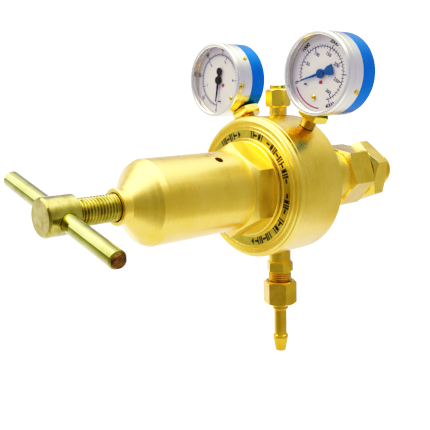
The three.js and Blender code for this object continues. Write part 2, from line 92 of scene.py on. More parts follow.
def radial_frame(angle):
    """A frame at the ports whose Y runs outwards at an angle from +X."""
    turn = Matrix.Rotation(-angle, 4, "Y") @ Matrix.Rotation(-math.pi / 2, 4, "Z")
    return PORTS @ turn


def side_frame(side, degrees, y):
    """A frame on a gauge's axis whose Y runs outwards at an angle from +X."""
    turn = Matrix.Rotation(-math.radians(degrees), 4, "Y") @ Matrix.Rotation(-math.pi / 2, 4, "Z")
    return GAUGE_FRAMES[side] @ Matrix.Translation((0, y * MM, 0)) @ turn


def dial_frame(side, radius, clock):
    """A frame on a dial at a radius and a clock angle, with Y still along the gauge's axis."""
    angle = math.radians(clock)
    place = (radius * math.sin(angle) * MM, 0, radius * math.cos(angle) * MM)
    return GAUGE_FRAMES[side] @ Matrix.Translation(place)


# ---------------------------------------------------------------- outlines and solids

def rounded(corners, radius=0.3, closed=False, steps=3):
    """Rounds each corner of an outline. A corner is (r, y), or (r, y, its own radius)."""
    points = []
    count = len(corners)
    for i, corner in enumerate(corners):
        here = Vector(corner[:2])
        reach = corner[2] if len(corner) > 2 else radius
        if reach == 0 or (not closed and i in (0, count - 1)):
            points.append(here)
            continue
        before = Vector(corners[i - 1][:2]) - here
        after = Vector(corners[(i + 1) % count][:2]) - here
        half = before.angle(after) / 2
        cut = min(reach / math.tan(half), 0.45 * before.length, 0.45 * after.length)
        start = here + before.normalized() * cut
        end = here + after.normalized() * cut
        for step in range(steps + 1):
            t = step / steps
            points.append((1 - t) ** 2 * start + 2 * t * (1 - t) * here + t * t * end)
    return points


def circle_angles(segments):
    return [2 * math.pi * i / segments for i in range(segments)]


def grid(angles, points_at, closed=False):
    """Vertices and faces of the outlines that points_at gives at each angle about Y, joined all round."""
    vertices = []
    rows = 0
    for angle in angles:
        points = points_at(angle)
        rows = len(points)
        vertices += [(p[0] * math.cos(angle), p[1], p[0] * math.sin(angle)) for p in points]
    faces = []
    last = rows if closed else rows - 1
    for i in range(len(angles)):
        a = i * rows
        b = (i + 1) % len(angles) * rows
        for j in range(last):
            k = (j + 1) % rows
            faces.append((a + j, a + k, b + k, b + j))
    return vertices, faces


def lathe(corners, segments=96, radius=0.3, closed=False, steps=3):
    """A turned shape. A closed outline leaves a hole along the axis."""
    outline = rounded(corners, radius, closed, steps)
    return grid(circle_angles(segments), lambda angle: outline, closed)


HEX_EDGE = 0.5  # radius of a hexagon's long edges
END_SHARE = 0.95  # radius of a hexagon's turned ends, as a share of half its width


def hex_radius(angle, across, turn, edge=HEX_EDGE):
    """How far a hexagon with rounded edges reaches at an angle."""
    apothem = across / 2
    off_flat = (angle - math.radians(turn + 30) + math.pi / 6) % (math.pi / 3) - math.pi / 6
    limit = math.atan((apothem - edge) * math.tan(math.pi / 6) / apothem)
    if abs(off_flat) <= limit:
        return apothem / math.cos(off_flat)
    centre = (apothem - edge) / math.cos(math.pi / 6)
    off_edge = math.pi / 6 - abs(off_flat)
    return centre * math.cos(off_edge) + math.sqrt(edge ** 2 - (centre * math.sin(off_edge)) ** 2)


def hex_angles(across, turn, edge=HEX_EDGE, flat_steps=8, edge_steps=4):
    apothem = across / 2
    limit = math.atan((apothem - edge) * math.tan(math.pi / 6) / apothem)
    angles = []
    for side in range(6):
        middle = math.radians(turn + 30 + 60 * side)
        angles += [middle - limit + 2 * limit * i / flat_steps for i in range(flat_steps)]
        gap = math.pi / 3 - 2 * limit
        angles += [middle + limit + gap * i / edge_steps for i in range(edge_steps)]
    return angles


def chamfered(across, front, back, chamfer_front, chamfer_back, angle, turn):
    """The four corners of a hexagon's outline at an angle, with its edges turned off at either end."""
    reach = hex_radius(angle, across, turn)
    inner = across / 2 * END_SHARE
    slope = (reach - inner) / (across / math.sqrt(3) - inner)
    return [
        (inner, front), (reach, front + chamfer_front * slope + 0.05),
        (reach, back - chamfer_back * slope - 0.05), (inner, back),
    ]


def hexagon(across, front, back, turn=0, chamfers=(1, 1), before=(), after=(), closed=False, radius=0.25):
    """A hexagonal length with turned corners, between the outline's other corners before and after it."""
    def points_at(angle):
        middle = chamfered(across, front, back, *chamfers, angle, turn)
        return rounded([*before, *middle, *after], radius, closed)

    return grid(hex_angles(across, turn), points_at, closed)


THREAD_FORM = ((0.0, 0), (0.14, 0), (0.44, 1), (0.6, 1), (0.9, 0))


def thread(front, back, pitch, crest, root, angles):
    """A helical thread between two plain rings of its root radius, fading out at either end."""
    form = len(THREAD_FORM)
    turns = math.ceil((back - front) / pitch) + 2
    rows = turns * form
    fade = pitch * 0.8
    vertices = []
    for angle in angles:
        share = (angle - angles[0]) / (2 * math.pi)
        for row in range(rows):
            along, height = THREAD_FORM[row % form]
            y = front + pitch * (row // form - 1 + along + share)
            held = min(max(y, front), back)
            rise = min(1, (held - front) / fade) * min(1, (back - held) / fade)
            r = root + (crest - root) * height * rise
            vertices.append((r * math.cos(angle), held, r * math.sin(angle)))
    faces = []
    for column in range(len(angles)):
        wraps = column == len(angles) - 1
        shift = form if wraps else 0
        a = column * rows
        b = 0 if wraps else a + rows
        for row in range(rows - 1 - shift):
            faces.append((a + row, a + row + 1, b + row + 1 + shift, b + row + shift))
    return vertices, faces


def coil(radius, wire, front, back, turns, steps=48, sides=12):
    """A round wire coiled about Y, with closed ends."""
    low, high = front + wire, back - wire
    count = round(turns * steps)
    vertices = []
    for i in range(count + 1):
        share = i / count
        angle = 2 * math.pi * turns * share
        y = low + (high - low) * share
        for side in range(sides):
            around = 2 * math.pi * side / sides
            r = radius + wire * math.cos(around)
            vertices.append((r * math.cos(angle), y + wire * math.sin(around), r * math.sin(angle)))
    faces = []
    for i in range(count):
        for side in range(sides):
            a = i * sides + side
            b = i * sides + (side + 1) % sides
            faces.append((a, b, b + sides, a + sides))
    faces.append(tuple(range(sides)))
    faces.append(tuple(range(count * sides, (count + 1) * sides)))
    return vertices, faces


def slab(outline, front, back):
    """A flat plate in XZ from [x, z] corners."""
    count = len(outline)
    vertices = [(x, y, z) for y in (front, back) for x, z in outline]
    faces = [tuple(range(count)), tuple(range(count, 2 * count))]
    for i in range(count):
        j = (i + 1) % count
        faces.append((i, j, count + j, count + i))
    return vertices, faces


def merged(*solids):
    vertices = []
    faces = []
    for points, polygons in solids:
        start = len(vertices)
        vertices += points
        faces += [tuple(start + i for i in polygon) for polygon in polygons]
    return vertices, faces


# ---------------------------------------------------------------- pieces

WELD = 1e-6
SHARP = math.radians(40)
INNER_SHARP = math.radians(30)


def to_mesh(name, solid):
    vertices, faces = solid
    mesh = bpy.data.meshes.new(name)
    mesh.from_pydata([Vector(v) * MM for v in vertices], [], faces)
    shape = bmesh.new()
    shape.from_mesh(mesh)
    bmesh.ops.remove_doubles(shape, verts=shape.verts, dist=WELD)
    bmesh.ops.dissolve_degenerate(shape, edges=shape.edges, dist=WELD)
    bmesh.ops.recalc_face_normals(shape, faces=shape.faces)
    shape.to_mesh(mesh)
    shape.free()
    return mesh


def bare(name, solid, place):
    made = bpy.data.objects.new(name, to_mesh(name, solid))
    bpy.context.scene.collection.objects.link(made)
    made.matrix_world = place
    return made


def carve(piece, cutters):
    """Cuts (solid, place) shapes out of a piece."""
    tools = [bare("cutter", solid, place) for solid, place in cutters]
    for tool in tools:
        change = piece.modifiers.new("cut", "BOOLEAN")
        change.operation = "DIFFERENCE"
        change.solver = "EXACT"
        change.object = tool
    bpy.context.view_layer.update()
    done = bpy.data.meshes.new_from_object(piece.evaluated_get(bpy.context.evaluated_depsgraph_get()))
    piece.modifiers.clear()
    piece.data = done
    for tool in tools:
        bpy.data.objects.remove(tool)


def finish_mesh(piece):
    mesh = piece.data
    mesh.shade_smooth()
    mesh.set_sharp_from_angle(angle=SHARP)
    weighted = piece.modifiers.new("normals", "WEIGHTED_NORMAL")
    weighted.keep_sharp = True


def make(name, solid, place, look, body="body", replaces=(), cutters=()):
    """A finished piece: shaped, cut, given a look and its slot, and riding on its body."""
    piece = bare(name, solid, place)
    if cutters:
        carve(piece, cutters)
    piece.data.materials.clear()
    piece.data.materials.append(LOOKS[look])
    finish_mesh(piece)
    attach(piece, body)
    if replaces:
        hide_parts(*replaces)
    return piece


def repaint(piece, look, where):
    """Gives another look to the faces whose centre, in millimetres in the piece's frame, fits."""
    piece.data.materials.append(LOOKS[look])
    for face in piece.data.polygons:
        if where(face.center / MM):
            face.material_index = 1


# ---------------------------------------------------------------- materials

class Nodes:
    """A material's node tree, with short calls to add and join nodes."""

    def __init__(self, material):
        material.use_nodes = True
        self.tree = material.node_tree
        self.shader = self.tree.nodes["Principled BSDF"]

    def add(self, kind, settings=None, **inputs):
        node = self.tree.nodes.new(kind)
        for key, value in (settings or {}).items():
            setattr(node, key, value)
        for key, value in inputs.items():
            self.set(node, key.replace("_", " "), value)
        return node

    def set(self, node, key, value):
        socket = node.inputs[int(key)] if key.isdigit() else node.inputs[key]
        if isinstance(value, bpy.types.NodeSocket):
            self.tree.links.new(value, socket)
        else:
            socket.default_value = value

    def math(self, operation, a, b=0.0):
        node = self.add("ShaderNodeMath", {"operation": operation})
        self.set(node, "0", a)
        self.set(node, "1", b)
        return node.outputs[0]

    def place(self):
        return self.add("ShaderNodeTexCoord").outputs["Object"]

    def turned_place(self):
        """(distance from the Y axis, y): the same all round a turned surface."""
        split = self.add("ShaderNodeSeparateXYZ", Vector=self.place())
        x, y, z = split.outputs
        squares = self.math("ADD", self.math("MULTIPLY", x, x), self.math("MULTIPLY", z, z))
        joined = self.add("ShaderNodeCombineXYZ", X=self.math("SQRT", squares), Y=y)
        return joined.outputs[0]

    def noise(self, vector, scale, detail=3.0, roughness=0.5):
        node = self.add("ShaderNodeTexNoise", Vector=vector, Scale=scale, Detail=detail, Roughness=roughness)
        return node.outputs["Fac"]

    def ramp(self, value, stops):
        node = self.add("ShaderNodeValToRGB", Fac=value)
        marks = node.color_ramp.elements
        marks[0].position, marks[0].color = stops[0][0], (*stops[0][1], 1)
        marks[1].position, marks[1].color = stops[-1][0], (*stops[-1][1], 1)
        for position, colour in stops[1:-1]:
            marks.new(position).color = (*colour, 1)
        return node.outputs[0]

    def spread(self, value, low, high, start=0.35, end=0.65):
        node = self.add("ShaderNodeMapRange", Value=value)
        for key, number in (("From Min", start), ("From Max", end), ("To Min", low), ("To Max", high)):
            node.inputs[key].default_value = number
        return node.outputs[0]

    def bump(self, height, strength, distance, normal=None):
        node = self.add("ShaderNodeBump", Height=height, Strength=strength, Distance=distance)
        if normal is not None:
            self.set(node, "Normal", normal)
        return node.outputs[0]


def plain(name, colour, metallic, roughness, **more):
    material = bpy.data.materials.new(name)
    nodes = Nodes(material)
    values = {"Base Color": (*colour, 1), "Metallic": metallic, "Roughness": roughness, **more}
    for key, value in values.items():
        nodes.shader.inputs[key].default_value = value
    return material, nodes


def turned_metal(name, light, dark, roughness, line_depth, stain=22.0):
    """Metal off a lathe: rings all round it, patches of tarnish, and fine handling scratches."""
    material, nodes = plain(name, light, 1.0, sum(roughness) / 2)
    rings = nodes.turned_place()
    spots = nodes.place()
    patches = nodes.noise(spots, stain, 4.0, 0.6)
    fine = nodes.noise(rings, 5200.0, 2.0, 0.7)
    broad = nodes.noise(rings, 520.0, 2.0, 0.5)
    scratches = nodes.noise(spots, 1500.0, 3.0, 0.7)
    nodes.set(nodes.shader, "Base Color", nodes.ramp(patches, [(0.36, dark), (0.6, light)]))
    wear = nodes.math("ADD", nodes.math("MULTIPLY", broad, 0.5), nodes.math("MULTIPLY", patches, 0.5))
    rough = nodes.spread(wear, *roughness, 0.4, 0.6)
    nodes.set(nodes.shader, "Roughness", rough)
    normal = nodes.bump(fine, line_depth, 0.00002)
    normal = nodes.bump(broad, line_depth * 0.5, 0.00005, normal)
    normal = nodes.bump(scratches, line_depth * 0.35, 0.00003, normal)
    nodes.set(nodes.shader, "Normal", normal)
    return material


def painted(name, light, dark, roughness, grain=900.0, depth=0.15, gloss=0.5, flake=0.0):
    """Paint or plastic with a slight unevenness in its colour and surface, and any share of metal flake."""
    material, nodes = plain(name, light, flake, roughness, **{"Specular IOR Level": gloss})
    spots = nodes.place()
    patches = nodes.noise(spots, 60.0, 4.0, 0.6)
    nodes.set(nodes.shader, "Base Color", nodes.ramp(patches, [(0.35, dark), (0.65, light)]))
    nodes.set(nodes.shader, "Roughness", nodes.spread(patches, roughness * 0.8, roughness * 1.2))
    nodes.set(nodes.shader, "Normal", nodes.bump(nodes.noise(spots, grain, 3.0), depth, 0.00003))
    return material


def glass():
    material, nodes = plain("lens", (0.05, 0.05, 0.05), 0.0, 0.03, Alpha=0.05, IOR=1.49)
    haze = nodes.noise(nodes.place(), 90.0, 3.0)
    nodes.set(nodes.shader, "Roughness", nodes.spread(haze, 0.02, 0.07))
    return material


GOLD = (0.95, 0.70, 0.13)
OLD_GOLD = (0.88, 0.60, 0.09)
LOOKS = {
    "brass": turned_metal("brass_turned", GOLD, OLD_GOLD, (0.17, 0.27), 0.10),
    "satin_brass": turned_metal("brass_satin", (0.95, 0.71, 0.15), (0.88, 0.61, 0.10), (0.24, 0.34), 0.16),
    "milled_brass": turned_metal(
        "brass_milled", (0.96, 0.71, 0.14), (0.88, 0.60, 0.09), (0.18, 0.30), 0.08, 60.0,
    ),
    "flat_brass": turned_metal(
        "brass_flats", (0.90, 0.66, 0.11), (0.82, 0.56, 0.07), (0.38, 0.48), 0.06, 60.0,
    ),
    # Darker, redder brass: the colour of the knurled line's dots, and painted shade and reflection on the
    # gauge stems' necks where they meet the body.
    "dark_brass_and_shade": turned_metal(
        "brass_dark_and_shade", (0.68, 0.43, 0.07), (0.50, 0.29, 0.04), (0.25, 0.40), 0.15, 90.0,
    ),
    # The band's brass is painted darker: painted shade and a painted dark reflection of the bonnet on the
    # body's front face.
    "band_painted_shade": turned_metal(
        "brass_band_painted_shade", (0.66, 0.53, 0.10), (0.54, 0.41, 0.06), (0.30, 0.42), 0.16, 60.0,
    ),
    "red_brass": turned_metal(
        "brass_reddish", (0.80, 0.52, 0.06), (0.66, 0.40, 0.04), (0.14, 0.26), 0.10, 60.0,
    ),
    "screw": turned_metal(
        "screw_passivated", (0.56, 0.49, 0.12), (0.34, 0.28, 0.05), (0.05, 0.14), 0.12, 120.0,
    ),
    "zinc": turned_metal("zinc_yellow", (0.46, 0.46, 0.11), (0.32, 0.30, 0.06), (0.04, 0.09), 0.04, 40.0),
    "copper_end": turned_metal("bar_end", (0.24, 0.12, 0.035), (0.07, 0.04, 0.015), (0.3, 0.5), 0.2, 260.0),
    "steel": turned_metal("steel", (0.62, 0.62, 0.64), (0.48, 0.48, 0.50), (0.22, 0.34), 0.08),
    "aluminium": turned_metal("aluminium", (0.98, 0.95, 0.83), (0.93, 0.89, 0.76), (0.16, 0.26), 0.05),
    "bronze": turned_metal("bronze", (0.55, 0.34, 0.16), (0.40, 0.22, 0.10), (0.4, 0.6), 0.1, 120.0),
    "blue": painted("blue_enamel", (0.0, 0.26, 0.84), (0.0, 0.19, 0.72), 0.26, gloss=0.2, flake=0.6),
    "dial": painted("dial_enamel", (0.90, 0.85, 0.73), (0.86, 0.81, 0.69), 0.5, grain=2500.0),
    "ink": painted("dial_ink", (0.02, 0.015, 0.012), (0.01, 0.008, 0.006), 0.7),
    "red_ink": painted("dial_red", (0.66, 0.05, 0.05), (0.50, 0.03, 0.04), 0.6),
    "fill": painted("groove_fill", (0.02, 0.018, 0.015), (0.006, 0.006, 0.006), 0.55),
    "black": painted("pointer_black", (0.012, 0.012, 0.014), (0.006, 0.006, 0.008), 0.35),
    "pointer_blue": painted("pointer_blue", (0.003, 0.105, 0.24), (0.002, 0.075, 0.18), 0.35),
    "rubber": painted("rubber", (0.03, 0.03, 0.03), (0.015, 0.015, 0.015), 0.75),
    "nylon": painted("nylon", (0.80, 0.76, 0.64), (0.72, 0.68, 0.56), 0.45),
    "glass": glass(),
}

# ---------------------------------------------------------------- handle

BAR_R = 5.2
BAR_HALF = 58
BAR_END = 1.7  # length of the bar's dark ends
BAR_Y = -140
BAR_TILT = -16.35
SCREW = {"crest": 8.1, "root": 7.1, "pitch": 2, "front": -131.1, "back": -104}
BAR_FRAME = (AXIS @ Matrix.Translation((0, BAR_Y * MM, 0)) @ Matrix.Rotation(math.radians(-BAR_TILT), 4, "Y")
             @ Matrix.Rotation(-math.pi / 2, 4, "Z"))


def handle():
    columns = 96
    head = lathe([
        (0, -151.2), (9.8, -151.2, 0.4), (11, -150.2, 0.6), (11, -132.4, 0.8), (10.2, -131.6),
        (SCREW["root"], -131.6), (SCREW["root"], SCREW["front"], 0),
    ], columns)
    shank = lathe([
        (SCREW["root"], SCREW["back"], 0), (7.9, -103.2), (7.9, -84), (5, -82.5), (5, -76.6), (3.5, -75.6),
        (0, -75.6),
    ], columns)
    spiral = thread(SCREW["front"], SCREW["back"], SCREW["pitch"], SCREW["crest"], SCREW["root"],
                    circle_angles(columns))
    hole = lathe([(0, -BAR_HALF), (BAR_R + 0.15, -BAR_HALF), (BAR_R + 0.15, BAR_HALF), (0, BAR_HALF)], 64, 0)
    make("handle_screw", merged(head, spiral, shank), AXIS, "screw", "handle", ["adjusting_screw"],
         [(hole, BAR_FRAME)])
    bar = lathe([
        (0, -BAR_HALF), (3.7, -BAR_HALF, 0.3), (4.4, -BAR_HALF + BAR_END, 0.2), (BAR_R, -BAR_HALF + 2.3, 0.4),
        (BAR_R, BAR_HALF - 2.3, 0.4), (4.4, BAR_HALF - BAR_END, 0.2), (3.7, BAR_HALF, 0.3), (0, BAR_HALF),
    ], 64)
    made = make("handle_bar", bar, BAR_FRAME, "zinc", "handle", ["t_bar"])
    repaint(made, "copper_end", lambda centre: abs(centre.y) > BAR_HALF - BAR_END)


# ---------------------------------------------------------------- bonnet

BONNET_HEX = {"across": 54.2, "turn": 28.3, "front": -18, "back": -3.2, "chamfer": 3.2, "edge": 0.7}
BARREL_R = 26.1
VENT = {"radius": 2.7, "y": -36.7, "angle": 59}


def bonnet():
    """The barrel, neck and hexagon in one shell, with the hexagon's flats in a rougher finish."""
    hexagonal = BONNET_HEX
    inner = hexagonal["across"] / 2 * END_SHARE
    corner = hexagonal["across"] / math.sqrt(3)

    def points_at(angle):
        reach = hex_radius(angle, hexagonal["across"], hexagonal["turn"], hexagonal["edge"])
        rise = hexagonal["chamfer"] / (corner - inner)
        start = hexagonal["front"] + (BARREL_R - inner) * rise
        edge = hexagonal["front"] + (reach - inner) * rise
        return rounded([
            (8.5, -105.5), (10.5, -105.5), (11, -105, 0.3), (11, -104.2), (10.3, -103.8), (10.3, -99.2, 0.5),
            (24.4, -88, 2.5), (BARREL_R, -84.9, 1.6), (BARREL_R, start, 0.2), (reach, edge, 0.3),
            (reach, hexagonal["back"], 0.3), (31.1, hexagonal["back"] + 0.02, 0.2), (31.6, -2.7, 0.3),
            (31.6, -0.9), (29.6, -0.9, 0), (29.6, 10), (21, 10), (21, -82, 1), (8.5, -82),
        ], closed=True)

    angles = hex_angles(hexagonal["across"], hexagonal["turn"], hexagonal["edge"], 20, 6)
    shell = grid(angles, points_at, True)
    vent = lathe([(0, 15), (VENT["radius"], 15), (VENT["radius"], 30), (0, 30)], 48, 0)
    vent_turn = Matrix.Rotation(math.radians(-VENT["angle"]), 4, "Y") @ Matrix.Rotation(-math.pi / 2, 4, "Z")
    vent_place = AXIS @ Matrix.Translation((0, VENT["y"] * MM, 0)) @ vent_turn
    made = make("bonnet_shell", shell, AXIS, "satin_brass", "body", ["bonnet"], [(vent, vent_place)])
    repaint(made, "flat_brass", lambda centre: hexagonal["front"] + 5 < centre.y < hexagonal["back"]
            and math.hypot(centre.x, centre.z) > BARREL_R + 0.9)


# ---------------------------------------------------------------- body

def radial_hole(radius, start, end, place):
    return lathe([(0, start), (radius, start), (radius, end), (0, end)], 40, 0), place


def body():
    outline = [
        (29.9, -0.6), (33.0, -0.6, 0.15), (33.4, 0, 0.1), (38.9, 0, 0.1), (39.2, 0.35, 0.1),
        (39.7, 0.35, 0.1), (40.0, 0, 0.1), (41.2, 0, 0.15), (42.0, 1.0, 0.3), (42.8, 1.0, 0.3),
        (43.4, 0.1, 0.3), (44.6, 0.1, 0.4), (45.4, 1.1, 0.3), (46.3, 1.3, 0.2), (47.0, 2.1, 0.4),
        (47.4, 3.0, 0.4), (47.4, 5.2, 0.15), (47.1, 5.5, 0.1), (47.1, 5.9, 0.1), (47.4, 6.2, 0.15),
        (47.4, 41.8, 0.8), (46.4, 42.8, 0.4), (27, 42.8), (27, 59, 0.6), (26, 60), (13.2, 60),
        (13.2, 46), (9.5, 46), (9.5, 30), (7.1, 30), (7.1, 24), (23.5, 24), (23.5, 13), (29.9, 13),
    ]
    shell = lathe(outline, 160, 0.25, True)
    holes = [radial_hole(6.25, -50, -30, UPRIGHT), radial_hole(5.2, 30, 50, UPRIGHT)]
    holes += [radial_hole(4.4, 34, 50, radial_frame(angle)) for angle in STEM_ANGLES.values()]
    made = make("body_shell", shell, AXIS, "satin_brass", "body", ["body"], holes)
    # The band on the front face gets the darker brass: painted shade and a painted dark reflection of the
    # bonnet.
    inner, outer = BAND["inner"] - BAND["margin"], BAND["outer"] + BAND["margin"]
    repaint(made, "band_painted_shade",
            lambda centre: abs(centre.y) < 0.2 and inner < math.hypot(centre.x, centre.z) < outer)
    band_marks()
    knurled_line()


BAND = {"inner": 33.6, "outer": 38.6, "middle": 36.1, "margin": 0.4}


def arc_bar(inner, outer, start, end, steps=6):
    """Corners of a bar bent round the axis, between two angles in degrees."""
    turns = [math.radians(start + (end - start) * i / steps) for i in range(steps + 1)]
    return ([(outer * math.cos(t), outer * math.sin(t)) for t in turns]
            + [(inner * math.cos(t), inner * math.sin(t)) for t in reversed(turns)])


def mark(kind, centre):
    """A mark's outlines, at an angle in degrees round the band: a bar, a pair of bars, a dash or an arrow."""
    inner, outer, middle = BAND["inner"], BAND["outer"], BAND["middle"]
    if kind == "bar":
        return [arc_bar(inner, outer, centre - 1.0, centre + 1.0, 2)]
    if kind == "pair":
        middles = (centre - 1.55, centre + 1.55)
        return [arc_bar(inner, outer, each - 0.75, each + 0.75, 2) for each in middles]
    if kind == "dash":
        return [arc_bar(middle - 0.7, middle + 0.7, centre - 2.4, centre + 2.4)]
    turn = math.radians(centre)
    along = math.radians(centre - 4)
    base = [(r * math.cos(turn), r * math.sin(turn)) for r in (outer, inner)]
    return [[*base, (middle * math.cos(along), middle * math.sin(along))]]


MARK_GROUPS = ((126, 7), (80, 4), (56, 12), (-4, 5), (-32, 4), (-56, 7))
MARK_STEP = 4.1
MARK_KINDS = ("pair", "bar", "dash", "bar", "pair", "dash", "arrow")


def band_marks():
    """Blackened geometric marks in groups round the band."""
    shapes = []
    for start, count in MARK_GROUPS:
        for i in range(count):
            kind = MARK_KINDS[(i + count) % len(MARK_KINDS)]
            shapes += mark(kind, start - i * MARK_STEP)
    solids = [slab(outline, -0.03, 0.12) for outline in shapes]
    make("band_marks", merged(*solids), AXIS, "fill")


KNURL = {"radius": 40.6, "count": 150}


def knurled_line():
    """A ring of small raised dots."""
    dots = []
    for turn in circle_angles(KNURL["count"]):
        x, z = KNURL["radius"] * math.cos(turn), KNURL["radius"] * math.sin(turn)
        points, polygons = lathe([(0, -0.16), (0.26, -0.12), (0.42, 0.04), (0, 0.04)], 8, 0)
        dots.append(([(px + x, py, pz + z) for px, py, pz in points], polygons))
    make("knurled_line", merged(*dots), AXIS, "dark_brass_and_shade")


# ---------------------------------------------------------------- inlet

INLET_NUT = {"across": 42.7, "turn": 20.4}


def inlet():
    adapter = hexagon(41, 90.8, 116.2, 47.6, (2.2, 1.6), before=[
        (3, 51), (4.6, 51), (4.6, 46.5), (12.2, 46.5), (13, 47.3), (13, 60.3), (18, 60.3), (18.8, 61.1, 0.5),
        (18.8, 90.75),
    ], after=[(7.2, 116.2), (7.2, 100), (3, 100)], closed=True)
    make("inlet_adapter_hex", adapter, AXIS, "milled_brass", "body", ["inlet_adapter"])
    make("nipple", lathe([
        (2.5, 107.2), (7, 107.2), (7, 116.4), (9, 116.4), (9, 145), (10.8, 145), (10.8, 149.4), (9, 149.6),
        (9, 151.4), (7.4, 151.4), (7.4, 153.8), (8.4, 153.8), (6.6, 157.2, 1), (2.5, 157.2),
    ], 96, closed=True), AXIS, "brass", "body", ["inlet_nipple"])
    seal = lathe([(7.5, 151.6, 1), (9.5, 151.6, 1), (9.5, 153.6, 1), (7.5, 153.6, 1)], 96, 1, True, 6)
    make("nipple_seal", seal, AXIS, "rubber", "body", ["nipple_o_ring"])
    across, turn = INLET_NUT["across"], INLET_NUT["turn"]
    angles = hex_angles(across, turn)
    head = hexagon(across, 117.4, 132.5, turn, (3, 1), before=[(9.3, 144.4), (9.3, 117.4)],
                   after=[(13.9, 132.5), (13.9, 133.2)])
    spiral = thread(133.2, 149, 2.3, 15, 13.9, angles)
    end_outline = rounded([(13.9, 149), (13.6, 150), (11.2, 150), (11.2, 144.4), (9.3, 144.4)])
    end = grid(angles, lambda angle: end_outline)
    make("nut", merged(head, spiral, end), AXIS, "milled_brass", "inlet_nut", ["inlet_nut"])


# ---------------------------------------------------------------- relief valve and outlet

def relief():
    make("relief_hex", hexagon(15.2, 52.9, 65, 16, (1.1, 1.1), before=[
        (1.6, 30.4), (5, 30.4), (5, 47.6), (6.05, 47.6), (6.05, 52.85),
    ], after=[(4.4, 65), (4.4, 41), (1.6, 41)], closed=True), UPRIGHT, "brass", "body", ["relief_body"])
    make("relief_top", lathe([
        (1.3, 61), (4.2, 61), (4.2, 65.2), (5.3, 65.2), (5.65, 65.6), (5.65, 67.4), (5.2, 67.8), (1.3, 67.8),
    ], 72, 0.15, True), UPRIGHT, "brass", "body", ["relief_cap"])


def outlet():
    adapter = hexagon(17, -63.2, -55.4, -25.4, (1, 1), before=[
        (3.2, -77), (7.4, -77), (7.4, -63.4, 0),
    ], after=[
        (7.85, -55.3), (7.85, -47.6), (6.05, -47.6), (6.05, -31), (3.2, -31),
    ], closed=True)
    make("outlet_hex", adapter, UPRIGHT, "red_brass", "body", ["outlet_adapter"])
    spiral = thread(-76.6, -63.3, 1.4, 8.3, 7.35, circle_angles(64))
    sleeve = lathe([(7.35, -63.3), (6.9, -63.3), (6.9, -76.6), (7.35, -76.6)], 64, 0)
    make("outlet_thread", merged(spiral, sleeve), UPRIGHT, "red_brass")
    nut = hexagon(21.1, -87, -69.8, -33.4, (1.4, 1.4), before=[(8.6, -80.2), (6.05, -80.2), (6.05, -87)],
                  after=[(8.6, -69.8)], closed=True)
    make("hose_nut", nut, UPRIGHT, "red_brass", "outlet_nut", ["outlet_nut"])
    make("hose_tail", lathe([
        (3, -122.5), (3.7, -122.5, 0.4), (5.45, -112.6), (5.5, -110.8, 0.3), (4.55, -110.2), (4.55, -91.8),
        (5.2, -91.2), (5.8, -90.6), (5.8, -80), (8.2, -79.8), (8.2, -77.6), (7, -77.2), (3, -77.2),
    ], 72, 0.25, True), UPRIGHT, "red_brass", "body", ["hose_barb"])


# ---------------------------------------------------------------- gauges

GAUGE = {
    "low": {
        "look": "black", "turn": 192.4, "screw_angle": 33, "dial_screw": (17.8, 138), "pin": (15, 179),
        "outer": {"step": 45.0, "labels": ("0", "10", "20", "30", "40", "50", "60"), "parts": 10},
        "inner": {"step": 65.3, "labels": ("", "1", "2", "3", "4"), "parts": 10},
        "scale_r": 18.0, "number": 3.1, "number_out": 3.8, "block": 136, "warning": None,
    },
    "high": {
        "look": "pointer_blue", "turn": 257.6, "screw_angle": -28, "dial_screw": (15.6, 203),
        "pin": (13.4, 244),
        "outer": {"step": 66.0, "labels": ("0", "1000", "2000", "3000", "4000"), "parts": 10},
        "inner": {"step": 42.9, "labels": ("", "50", "100", "150", "200", "250", "300"), "parts": 5},
        "scale_r": 16.6, "number": 3.5, "number_out": 4.0, "block": 186, "warning": (186, 250),
    },
}
SWEEP = 270
DIAL_Y = 20.8
PRINT = (DIAL_Y - 0.03, DIAL_Y + 0.05)


def on_clock(radius, clock):
    angle = math.radians(clock)
    return radius * math.sin(angle), radius * math.cos(angle)


def tick(inner, outer, clock, width):
    """Corners of a straight stroke along a dial's radius."""
    across = on_clock(width / 2, clock + 90)
    ends = [on_clock(inner, clock), on_clock(outer, clock)]
    return [
        (ends[0][0] - across[0], ends[0][1] - across[1]), (ends[1][0] - across[0], ends[1][1] - across[1]),
        (ends[1][0] + across[0], ends[1][1] + across[1]), (ends[0][0] + across[0], ends[0][1] + across[1]),
    ]


def clock_bar(inner, outer, start, end):
    return arc_bar(inner, outer, 90 - start, 90 - end, max(2, round(abs(end - start) / 3)))


def number(text, size, radius, clock, turn):
    """A number as a thin solid, centred on the dial at a radius and clock angle and turned clockwise."""
    curve = bpy.data.curves.new("number", "FONT")
    curve.body = text
    curve.size = size
    curve.align_x = "CENTER"
    curve.align_y = "CENTER"
    curve.offset = size * 0.03
    curve.extrude = (PRINT[1] - PRINT[0]) / 2
    curve.resolution_u = 3
    letters = bpy.data.objects.new("number", curve)
    bpy.context.scene.collection.objects.link(letters)
    bpy.context.view_layer.update()
    print_mesh = bpy.data.meshes.new_from_object(letters.evaluated_get(bpy.context.evaluated_depsgraph_get()))
    angle = math.radians(turn)
    x0, z0 = on_clock(radius, clock)
    vertices = []
    middle = (PRINT[0] + PRINT[1]) / 2
    for vertex in print_mesh.vertices:
        x, z, depth = vertex.co
        vertices.append((x0 + x * math.cos(angle) + z * math.sin(angle), middle - depth,
                         z0 - x * math.sin(angle) + z * math.cos(angle)))
    faces = [tuple(polygon.vertices) for polygon in print_mesh.polygons]
    bpy.data.objects.remove(letters)
    bpy.data.curves.remove(curve)
    bpy.data.meshes.remove(print_mesh)
    return vertices, faces


